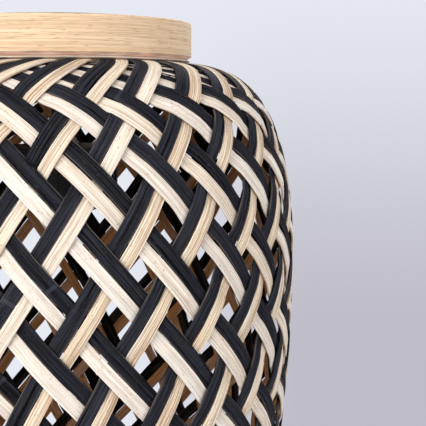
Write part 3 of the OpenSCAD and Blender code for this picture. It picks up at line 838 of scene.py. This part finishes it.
@dataclass
class WovenHead:
    """The woven body: pairs of a black and a natural strip in two slants, over one, under one.

    shoulder and taper are the outline's heights above and below its widest ring, each with
    the power of its curve. layer is the thickness of the whole weave, and thickness that of
    one strip. From neck_from down to neck_from - neck_fade of the head's radius, the weave
    turns into a neck's.
    """

    seed: int = 26
    pairs: int = 26
    shoulder_power: float = 6.6
    taper_power: float = 4.0
    shoulder: float = 80.0 * MM
    taper: float = 190.0 * MM
    neck: float = 53.0 * MM
    neck_from: float = 0.80
    neck_fade: float = 0.05
    layer: float = 2.4 * MM
    thickness: float = 0.85 * MM
    bevel: float = 0.16 * MM
    crown: float = 0.05 * MM
    wave: float = 0.70 * MM
    wave_flatness: float = 2.2
    bend: float = 1.3 * MM
    tuck: float = 4.0 * MM
    step: float = 2.0 * MM
    curve_points: int = 4000
    # Width of a pair with its gap, and the share of a crowded row that it may take
    pair_width: float = 10.3 * MM
    pair_share: float = 0.94
    half_gap: float = 0.12 * MM
    ring_steps: int = 240
    ring_sides: int = 10
    ring_out: float = 1.4 * MM
    ring_drop: float = 0.02 * MM
    ring_half: tuple[float, float] = (0.85 * MM, 0.42 * MM)
    ring_tone: float = 0.45
    lays: dict[Slant, Lay] = field(
        default_factory=lambda: {
            Slant.RISING: Lay(
                0.871,
                (0.42, 0.76, 0.73, 0.66, 0.59, 0.62, 0.64, 0.50, 0.52, 0.66),
                {-2: 0.011, -1: -0.015, 0: 0.005, 1: 0.004, 2: 0.017, 3: 0.007, 4: -0.015,
                 5: -0.013},
            ),
            Slant.FALLING: Lay(
                -0.645,
                (1.76, 1.68, 1.59, 1.23, 0.95, 0.82, 0.84, 0.88, 0.92, 1.25),
                {-4: -0.025, -3: 0.003, -2: -0.009, -1: 0.014, 0: -0.016, 1: 0.004, 2: 0.029},
            ),
        }
    )
    widths: dict[tuple[Slant, Dye], float] = field(
        default_factory=lambda: {
            (Slant.RISING, Dye.BLACK): 5.2 * MM,
            (Slant.RISING, Dye.NATURAL): 4.7 * MM,
            (Slant.FALLING, Dye.BLACK): 5.2 * MM,
            (Slant.FALLING, Dye.NATURAL): 5.2 * MM,
        }
    )

    def __post_init__(self) -> None:
        """Reads the body's size from the frame and works out the middle line."""
        low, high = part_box("woven_body")
        self.radius = (high.x - low.x) / 2.0
        self.wide_z = high.z - self.shoulder * math.sqrt(
            1.0 - (self.neck / self.radius) ** self.shoulder_power
        )
        self.line = self.meridian()
        self.turns = {slant: self.lay(slant) for slant in Slant}
        self.rng = np.random.default_rng(self.seed)

    def meridian(self) -> Meridian:
        """Works out the middle line from the lower tuck to the upper tuck.

        With a turn t, the outline's radius is R cos(t) to the power 2/p and its height is
        h sin(t) from the widest ring, where p and h differ above and below that ring. The
        middle line lies half the layer's thickness inside it. At both necks it turns
        through a quarter circle and runs along the hoop.

        Returns:
            The middle line.
        """
        edge = (self.neck + self.bend) / self.radius
        top = math.acos(edge ** (self.shoulder_power / 2.0))
        base = math.acos(edge ** (self.taper_power / 2.0))
        t = np.linspace(-base, top, self.curve_points)
        p = np.where(t > 0, self.shoulder_power, self.taper_power)
        h = np.where(t > 0, self.shoulder, self.taper)
        r = self.radius * np.cos(t) ** (2.0 / p)
        z = self.wide_z + h * np.sin(t)
        slope_r = -self.radius * 2.0 / p * np.cos(t) ** (2.0 / p - 1.0) * np.sin(t)
        slope_z = h * np.cos(t)
        size = np.hypot(slope_r, slope_z)
        n_r, n_z = slope_z / size, -slope_r / size
        r, z = r - n_r * self.layer / 2.0, z - n_z * self.layer / 2.0
        arc = np.concatenate([[0.0], np.cumsum(np.hypot(np.diff(r), np.diff(z)))])
        even = np.linspace(0.0, arc[-1], int(arc[-1] / self.step) + 1)
        r, z = np.interp(even, arc, r), np.interp(even, arc, z)
        n_r, n_z = np.interp(even, arc, n_r), np.interp(even, arc, n_z)
        # The neck itself is a little further up the curve than the start of the bend
        rest = even[-1] - even + self.bend
        parts = [np.stack([r, z, n_r, n_z, rest], axis=1)]
        for end, side in ((0, -1.0), (-1, 1.0)):
            start = math.atan2(n_z[end] * side, n_r[end])
            a = np.linspace(start, math.pi, 6)[1:]
            centre_r = r[end] - self.bend * n_r[end]
            centre_z = z[end] - self.bend * n_z[end]
            r_a, z_a = np.cos(a), side * np.sin(a)
            bend = np.stack(
                [centre_r + self.bend * r_a, centre_z + self.bend * z_a, r_a, z_a,
                 np.full_like(a, rest[end])],
                axis=1,
            )
            straight = np.repeat(bend[-1:], 3, axis=0)
            straight[:, 1] -= side * np.linspace(0.3, 1.0, 3) * self.tuck
            tail = np.concatenate([bend, straight])
            parts = [tail[::-1]] + parts if end == 0 else parts + [tail]
        rows = np.concatenate(parts)
        near = np.clip((self.neck_from - rows[:, 0] / self.radius) / self.neck_fade, 0.0, 1.0)
        return Meridian(*rows.T, near * near * (3.0 - 2.0 * near))

    def lay(self, slant: Slant) -> np.ndarray:
        """Turn of pair 0 at each step of the middle line.

        Going down the curve by a small step, the turn changes by the step times the
        tangent of the lean, divided by the radius: up for falling pairs, down for rising.

        Args:
            slant: Which family.

        Returns:
            Angles from the front, in radians.
        """
        line, lay = self.line, self.lays[slant]
        lean = np.interp(line.down / self.radius, STATIONS, lay.leans) / line.radius
        steps = -np.diff(line.down) * (lean[1:] + lean[:-1]) / 2.0
        wound = np.concatenate([np.cumsum(steps[::-1])[::-1], [0.0]])
        wound += lean[-1] * line.down[-1]
        return lay.start + wound * (1.0 if slant is Slant.FALLING else -1.0)

    def level(self, slant: Slant, index: int, place: np.ndarray) -> np.ndarray:
        """Which side of the layer a pair runs on, from -1 inside to 1 outside.

        At a crossing the level is 1 or -1: by the sum of the two pairs' indexes over the
        body, and always 1 for rising pairs near a neck. Between two crossings it changes
        along a flattened half cosine. A crossing's height depends only on the difference of
        the two indexes, so both pairs agree on its side.

        Args:
            slant: Which way the pair climbs.
            index: The pair's index.
            place: The other family's index at each step, with its fraction.

        Returns:
            A number for each step.
        """
        apart = (self.turns[Slant.RISING] - self.turns[Slant.FALLING]) / TURN * self.pairs
        order = np.argsort(apart)
        layer = 1.0 if slant is Slant.RISING else -1.0
        levels = []
        for crossing in (np.floor(place), np.floor(place) + 1.0):
            gap = (crossing - index) * layer
            neck = np.interp(gap, apart[order], self.line.neck[order]) > 0.5
            levels.append(layer * np.where(neck, 1.0, 1.0 - 2.0 * ((crossing + index) % 2.0)))
        flat = self.wave_flatness
        share = 0.5 - 0.5 * np.tanh(flat * np.cos(math.pi * (place % 1.0))) / math.tanh(flat)
        return levels[0] + (levels[1] - levels[0]) * share

    def strip(self, slant: Slant, dye: Dye, index: int) -> Piece:
        """Makes one strip.

        Its middle follows the pair's line, moved sideways by half a width and out or in by
        its level at that place. Its section is a thin bar with bevelled edges.

        Args:
            slant: Which way it climbs.
            dye: Black or natural.
            index: Which pair it belongs to.

        Returns:
            The strip.
        """
        line, rng = self.line, self.rng
        pitch = TURN / self.pairs
        turn = pitch * index + self.turns[slant] + self.lays[slant].drift.get(index, 0.0)
        sin, cos = np.sin(turn), np.cos(turn)
        middle = np.stack([line.radius * sin, -line.radius * cos, line.height], axis=1)
        out = np.stack([line.normal_r * sin, -line.normal_r * cos, line.normal_z], axis=1)
        ahead = np.gradient(middle, axis=0)
        side = np.cross(ahead, out)
        side /= np.linalg.norm(side, axis=1, keepdims=True)
        right = np.stack([cos, sin, np.zeros_like(turn)], axis=1)
        side *= np.sign(np.sum(side * right, axis=1, keepdims=True))
        steps = np.linalg.norm(np.diff(middle, axis=0), axis=1)
        run = np.concatenate([[0.0], np.cumsum(steps)])

        def sway(size: float, length: float) -> np.ndarray:
            """A sine of the distance along the strip, with a drawn start."""
            return size * np.sin(run / length + rng.uniform(0, TURN))

        width = self.widths[slant, dye] * (1.0 + 0.035 * rng.standard_normal())
        width = width * (1.0 + sway(0.02, 35.0 * MM))
        lean = np.interp(line.down / self.radius, STATIONS, self.lays[slant].leans)
        room = pitch * line.radius / np.hypot(1.0, lean)
        width = width * np.minimum(1.0, self.pair_share * room / self.pair_width)
        # The black strip is on the left of a rising pair and on the right of a falling one
        hand = -1.0 if (dye is Dye.BLACK) == (slant is Slant.RISING) else 1.0
        wander = sway(0.18 * MM, 21.0 * MM)
        centre = middle + side * (hand * (width / 2.0 + self.half_gap) + wander)[:, None]

        aside = np.arctan2(centre[:, 0], -centre[:, 1]) - turn
        own_turn = turn + (aside + math.pi) % TURN - math.pi
        other = Slant.FALLING if slant is Slant.RISING else Slant.RISING
        lift = self.wave * self.level(slant, index, (own_turn - self.turns[other]) / pitch)
        centre = centre + out * (lift + sway(0.05 * MM, 17.0 * MM))[:, None]

        tilt = np.gradient(centre, axis=0)
        face = np.cross(side, tilt)
        face /= np.linalg.norm(face, axis=1, keepdims=True)
        face *= np.sign(np.sum(face * out, axis=1, keepdims=True))
        h, t, c = 0.5, self.thickness / 2.0, self.bevel
        across = np.array([-h, -h, 0.0, h, h, h, h, -h, -h])
        inset = np.array([0, c, 0, -c, 0, 0, -c, c, 0])
        rise = np.array([t - c, t, t + self.crown, t, t - c, c - t, -t, -t, c - t])
        shift = across[None, :] * width[:, None] + inset[None, :]
        rings = centre[:, None] + side[:, None] * shift[..., None]
        rings = rings + face[:, None] * rise[None, :, None]
        first = rings[0, :3] - rings[0, 0]
        if np.dot(np.cross(first[1], first[2]), ahead[0]) < 0:
            order = np.arange(len(across))[::-1]
            rings, shift = rings[:, order], shift[:, order]
            rise, across = rise[order], across[order]
        values = {
            "along": np.repeat(run[:, None] + rng.uniform(0, 0.3), len(across), axis=1),
            "across": shift,
            "rim": np.broadcast_to(np.abs(across) * 2.0, shift.shape),
            "outer": np.broadcast_to((rise > 0).astype(float), shift.shape),
            "tone": np.full(shift.shape, rng.uniform(0.0, 0.5) + 0.5 * (slant is Slant.RISING)),
        }
        name = f"strip_{slant.value}_{dye.value}_{index % self.pairs + 1:02d}"
        return solid_from_rings(name, rings, values)

    def binding(self, name: str, height: float) -> Piece:
        """Makes the thin ring that lies on the strips' bend at one neck.

        Its section is a flat oval. Its radius wanders by two small sines of the turn.

        Args:
            name: The ring's name.
            height: Height of its middle.

        Returns:
            The ring.
        """
        a = np.arange(self.ring_steps)[:, None] / self.ring_steps * TURN
        s = -np.arange(self.ring_sides)[None, :] / self.ring_sides * TURN
        wander = 0.12 * MM * np.sin(5 * a + 1.0) + 0.08 * MM * np.sin(13 * a)
        radius = self.neck + self.ring_out + wander + self.ring_half[0] * np.cos(s)
        rise = height + self.ring_half[1] * np.sin(s) + 0.03 * MM * np.sin(7 * a)
        points = np.stack([radius * np.sin(a), -radius * np.cos(a), rise], axis=-1)
        values = {
            "along": np.broadcast_to(a * self.neck, radius.shape),
            "across": np.broadcast_to(self.ring_half[1] * 3.0 * np.sin(s), radius.shape),
            "rim": np.zeros(radius.shape),
            "outer": np.ones(radius.shape),
            "tone": np.full(radius.shape, self.ring_tone),
        }
        quads = grid_faces(self.ring_steps, self.ring_sides, endless=True).astype(np.int32)
        totals = np.full(len(quads), 4, dtype=np.int32)
        points = points.reshape(-1, 3)
        return made_object(name, points, quads.ravel(), totals, values, RING_SHARP)

    def build(self, finishes: dict[Dye, Material]) -> None:
        """Makes the two bindings and every strip, and sets them riding on the head."""
        low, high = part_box("woven_body")
        pieces = [
            (self.binding("binding_upper", high.z + NECK_GAP - self.ring_drop), Dye.NATURAL),
            (self.binding("binding_lower", low.z - NECK_GAP + self.ring_drop), Dye.NATURAL),
        ]
        for slant in Slant:
            for dye in Dye:
                for index in range(-self.pairs // 2, self.pairs // 2):
                    pieces.append((self.strip(slant, dye, index), dye))
                LOG.info("wove %d %s %s strips", self.pairs, dye.value, slant.value)
        for piece, dye in pieces:
            dress(piece, finishes[dye])
            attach(piece, "head")
            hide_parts("woven_body")


# --- Pole


@dataclass
class BambooPole:
    """One length of bamboo stem, hollow at its ends, with joints that stand out a little."""

    node: str
    body: str
    joints: Sequence[float]
    radius: float = 13.5 * MM
    hollow: float = 8.0 * MM
    hollow_depth: float = 44.0 * MM
    edge: float = 0.8 * MM
    sides: int = 72
    seed: int = 1

    def outline(self) -> np.ndarray:
        """Radius and height from the lower hollow's end, round the outside, to the upper one's.

        A joint is a narrow scar, a groove above it and a broad soft ring above that, each a
        bell curve of the height.

        Returns:
            Rows of radius, height, height above the nearest joint, and 1 on cut faces.
        """
        low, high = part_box(self.node)
        z0, z1 = low.z + self.edge, high.z - self.edge
        z = np.arange(z0, z1, 1.6 * MM)
        extra = [j + d * MM for j in self.joints for d in np.arange(-4.0, 12.0, 0.5)]
        z = np.unique(np.round(np.concatenate([z, extra, [z1]]), 5))
        r = np.full_like(z, self.radius)
        away = np.full_like(z, 1.0)
        for j in self.joints:
            d = (z - j) / MM
            for size, middle, spread in ((0.95, 0.0, 1.1), (-0.45, 2.6, 1.3), (0.75, 6.0, 3.0)):
                r += MM * size * np.exp(-(((d - middle) / spread) ** 2))
            away = np.where(np.abs(z - j) < np.abs(away), z - j, away)
        outside = np.stack([r, z, away, np.zeros_like(z)], axis=1)
        # Radius, depth below the pole's end, and the cut's share, from the hollow outwards
        deep = self.hollow_depth
        lip = np.array(
            [[0.0, deep, 1.0], [self.hollow * 0.6, deep - 0.5 * MM, 1.0],
             [self.hollow, deep - 3.0 * MM, 1.0], [self.hollow, 0.3 * MM, 1.0],
             [self.hollow + 0.3 * MM, 0.0, 1.0], [self.radius - self.edge, 0.0, 1.0],
             [self.radius - 0.2 * MM, 0.25 * MM, 0.6]]
        )
        radius, depth, cut = lip.T
        far = np.ones_like(depth)
        start = np.stack([radius, low.z + depth, far, cut], axis=1)
        end = np.stack([radius, high.z - depth, far, cut], axis=1)
        return np.concatenate([start, outside, end[::-1]])

    def build(self, finish: Material, plain: Sequence[tuple[float, float]]) -> None:
        """Makes the pole.

        Args:
            finish: Its material.
            plain: Spans of height where the stem is inside a fitting, and is turned round.
        """
        rows = self.outline()
        rng = np.random.default_rng(self.seed)
        a = np.arange(self.sides) / self.sides * TURN
        z = rows[:, 1:2]
        free = np.ones_like(z)
        for low, high in plain:
            free *= 1.0 - np.clip(1.0 - np.maximum(low - z, z - high) / (8.0 * MM), 0.0, 1.0)
        waves = ((0.010, 2, 3.0), (0.006, 3, -9.0), (0.004, 7, 20.0))
        swell = np.full((len(z), self.sides), 1.0 - 0.004)
        for start, (size, lobes, twist) in zip(rng.uniform(0, TURN, len(waves)), waves):
            swell += free * size * np.cos(lobes * a + start + z * twist)
        values = {
            "joint": np.repeat(rows[:, 2:3], self.sides, axis=1),
            "core": np.repeat(rows[:, 3:4], self.sides, axis=1),
        }
        piece = lathe(self.node + "_stem", rows[:, :2], self.sides, swell, values)
        dress(piece, finish)
        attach(piece, self.body)
        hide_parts(self.node)
        LOG.info("turned %s", piece.name)


# --- Studio


@dataclass(frozen=True)
class Lamp:
    """A square area lamp: its place from the head's middle, its side and its power in watts."""

    name: str
    place: tuple[float, float, float]
    side: float
    power: float

    def build(self, head: Vector) -> None:
        """Adds the lamp, shining at the head's middle."""
        light = bpy.data.lights.new(self.name, "AREA")
        light.size = self.side
        light.energy = self.power
        holder = placed(self.name, light)
        holder.location = head + Vector(self.place)
        holder.rotation_euler = (-Vector(self.place)).to_track_quat("-Z", "Y").to_euler()


@dataclass
class Studio:
    """Floor, sky, lamps and camera.

    reach is the lens's focal length over the width of its sensor. The three fades are where
    the sky turns from above to below, by its direction's share along X, Y and Z.
    """

    distance: float = 428.5 * MM
    turn: float = 8.77
    dip: float = 6.70
    reach: float = 2.305
    sensor: float = 36.0
    clip: float = 10.0 * MM
    eye_drop: float = 15.2 * MM
    above: Colour = paint(234, 237, 246)
    below: Colour = paint(192, 190, 202)
    brightness: float = 0.97
    fade_right: tuple[float, float] = (0.03, 0.25)
    fade_ahead: tuple[float, float] = (0.74, 0.90)
    fade_down: tuple[float, float] = (0.16, -0.26)
    floor_radius: float = 2.7
    floor_sides: int = 96
    floor_paint: FloorPaint = FloorPaint(
        "studio_floor", paint(222, 223, 226), paint(214, 215, 219)
    )
    lamps: Sequence[Lamp] = (
        Lamp("key", (-1.1, -1.3, 0.75), 0.9, 29.5),
        Lamp("fill", (1.5, -0.9, 0.25), 1.2, 7.0),
        Lamp("rim", (0.6, 1.5, 0.9), 0.9, 9.0),
    )

    def camera(self, cap_underside: float) -> None:
        """Puts the camera in front of the head, a little below the cap, looking past its right.

        Args:
            cap_underside: Height of the underside of the cap.
        """
        lens = bpy.data.cameras.new("camera")
        lens.sensor_width = self.sensor
        lens.lens = self.sensor * self.reach
        lens.clip_start = self.clip
        holder = placed("camera", lens)
        holder.location = (0.0, -self.distance, cap_underside - self.eye_drop)
        angles = (math.radians(90.0 - self.dip), 0.0, math.radians(-self.turn))
        holder.rotation_euler = Euler(angles, "XYZ")
        bpy.context.scene.camera = holder

    def sky(self) -> None:
        """Makes the sky: pale, and darker ahead of the camera, low on the right."""
        world = bpy.data.worlds.new("sky")
        world.use_nodes = True
        g = Graph(world.node_tree)
        right, ahead, up = g.parts(g.place("Generated"))
        share = right.ease(*self.fade_right) * ahead.ease(*self.fade_ahead)
        colour = g.mix(share * up.ease(*self.fade_down), self.above, self.below)
        light = g.node("ShaderNodeBackground", {0: colour, 1: self.brightness})
        g.end("ShaderNodeOutputWorld", light)
        bpy.context.scene.world = world

    def floor(self, height: float) -> None:
        """Makes the floor, a flat disc at a height."""
        a = np.linspace(0.0, TURN, self.floor_sides, endpoint=False)
        rim = np.stack([np.cos(a), np.sin(a), np.zeros_like(a)], axis=1) * self.floor_radius
        rim[:, 2] = height
        mesh = bpy.data.meshes.new("floor")
        mesh.from_pydata(rim.tolist(), [], [list(range(len(rim)))])
        ground = placed("floor", mesh)
        dress(ground, self.floor_paint.make())
        ground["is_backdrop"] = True

    def build(self, head: Vector, floor: float) -> None:
        """Makes the floor, the sky and the lamps.

        Args:
            head: Middle of the woven head.
            floor: Height of the floor.
        """
        self.floor(floor)
        self.sky()
        bpy.context.scene.view_settings.view_transform = "Standard"
        for lamp in self.lamps:
            lamp.build(head)


# --- Assembly


@dataclass
class Torch:
    """Dresses the CAD parts and builds the pieces that stand for the soft and natural ones."""

    nodes: dict[str, Piece]
    # Height of the cap's band of glue and painted light above the woven body's top
    glue_and_light_band_height: float = 2.5 * MM
    joint_step: float = 105.0 * MM
    joint_first: float = 46.0 * MM
    joint_clear: float = 13.0 * MM

    def finishes(self) -> dict[Finish, Sequence[str]]:
        """Which CAD nodes each finish goes on."""
        cap, base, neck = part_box("wooden_cap"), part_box("base_disc"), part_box("woven_body")
        glue_and_light_band_low = neck[1].z
        # Wood colours; the last two are the cap band's painted light: brightened pink glue and a
        # painted sheen
        wood = (paint(225, 196, 160), paint(213, 180, 141), paint(158, 116, 78),
                paint(238, 196, 174), paint(252, 238, 228))
        return {
            TurnedWood("cap_wood", *wood, cap[0].z, cap[1].z, glue_and_light_band_low, glue_and_light_band_low + self.glue_and_light_band_height): [
                "wooden_cap"],
            TurnedWood("base_wood", *wood, base[0].z, base[1].z, 0.0, 0.0): ["base_disc"],
            HoopBamboo("hoop", paint(222, 205, 176), paint(176, 140, 96)): [
                "bottom_hoop", "top_hoop"],
            CoatedMetal("black_coat", paint(34, 34, 36), paint(88, 84, 80)): [
                "depth_collar", "foot_ferrule", "coupling_sleeve", "pole_socket", "window_bezel",
                "hanger_stem"],
            GroundSteel("spike_steel", paint(150, 151, 153), paint(92, 74, 58), 0.0, 0.30): [
                "ground_spike"],
            GroundSteel("zinc", paint(200, 201, 204), paint(150, 148, 142), -1.0, 0.22): [
                "sleeve_screws", "socket_screws", "clamp_screw", "hoop_brads", "bezel_screws",
                "stem_nuts", "stem_washers", "housing_screws", "battery_contacts"],
            MouldedPlastic("black_plastic", paint(20, 20, 22), paint(52, 51, 54), 0.36): [
                "clamp_knob", "lamp_housing", "battery_holder", "board_parts", "switch_body"],
            MouldedPlastic("gasket_rubber", paint(24, 24, 24), paint(48, 47, 46), 0.62): [
                "window_gasket"],
            MouldedPlastic("button_rubber", paint(120, 121, 124), paint(140, 140, 142), 0.5): [
                "power_button"],
            MouldedPlastic("white_plastic", paint(236, 236, 232), paint(228, 226, 220), 0.28): [
                "reflector"],
            MouldedPlastic("cell_wrap", paint(86, 140, 96), paint(70, 120, 84), 0.25): ["battery"],
            SolarSilicon(
                "solar_silicon", paint(10, 16, 44), paint(28, 52, 112), paint(196, 200, 206)
            ): ["solar_cell"],
            ClearCover("window_clear", (0.96, 0.98, 1.0, 1.0), 0.02, 1.0): [
                "solar_window", "light_diode"],
            ClearCover("dome_frosted", paint(242, 240, 232), 0.42, 0.55): ["diffuser"],
            CircuitBoard("board", paint(18, 84, 46), paint(60, 132, 78)): ["circuit_board"],
            LeadCover("lead_cover", paint(176, 26, 22), paint(28, 28, 30)): ["solar_leads"],
        }

    def dress_nodes(self) -> None:
        """Makes each finish once and gives it to its nodes."""
        for finish, names in self.finishes().items():
            material = finish.make()
            for name in names:
                dress(self.nodes[name], material)
            LOG.info("dressed %s in %s", ", ".join(names), finish.name)

    def weave(self) -> None:
        """Makes the two strip finishes and the woven head."""
        # edge is each strip's painted highlight colour along its edges
        natural = StripFinish(
            "strip_natural", face=paint(238, 229, 215), warm=paint(239, 220, 190),
            fibre=paint(146, 106, 68), inner=paint(208, 146, 88), inner_fibre=paint(162, 108, 64),
            edge=paint(240, 234, 224), edge_share=0.6, line_share=0.95, streak_share=0.12,
            shade=0.08, gloss=0.15, roughness=0.6,
        )
        black = StripFinish(
            "strip_black", face=paint(9, 8, 11), warm=paint(8, 7, 8), fibre=paint(78, 78, 87),
            inner=paint(6, 5, 5), inner_fibre=paint(16, 12, 10), edge=paint(150, 136, 122),
            edge_share=0.36, line_share=0.62, streak_share=0.30, shade=0.30, gloss=0.03,
            roughness=0.62,
        )
        WovenHead().build({Dye.NATURAL: natural.make(), Dye.BLACK: black.make()})

    def raise_poles(self) -> None:
        """Makes the two bamboo poles, with their joints at the CAD's spacing."""
        finish = CulmBamboo(
            "culm", skin=paint(214, 184, 126), ripe=paint(190, 150, 92), fleck=paint(128, 88, 50),
            scar=paint(84, 60, 40), wax=paint(232, 220, 190), core=paint(218, 196, 152),
        ).make()
        cup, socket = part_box("foot_ferrule")[1].z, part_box("pole_socket")[0].z
        sleeve_low, sleeve_high = (corner.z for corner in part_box("coupling_sleeve"))
        # Each pole's ends run on inside its fittings, so the plain spans are open outwards
        below, above = -1.0, 2.0
        for name, start, end, seed in (
            ("lower", cup, sleeve_low, 3), ("upper", sleeve_high, socket, 8)
        ):
            joints = np.arange(start + self.joint_first, end - self.joint_clear, self.joint_step)
            pole = BambooPole(f"{name}_pole", f"{name}_section", joints, seed=seed)
            pole.build(finish, [(below, start), (end, above)])

    def build(self) -> None:
        """Builds and dresses the whole torch."""
        self.dress_nodes()
        self.weave()
        self.raise_poles()


def main() -> None:
    logging.basicConfig(level=logging.INFO, format="%(name)s: %(message)s")
    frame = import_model()
    cad_low, cad_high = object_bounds()
    head_low, head_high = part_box("woven_body")
    studio = Studio()
    studio.camera(head_high.z + NECK_GAP)
    Torch(frame["nodes"]).build()
    studio.build((head_low + head_high) / 2.0, cad_low.z)


if __name__ == "__main__":
    main()
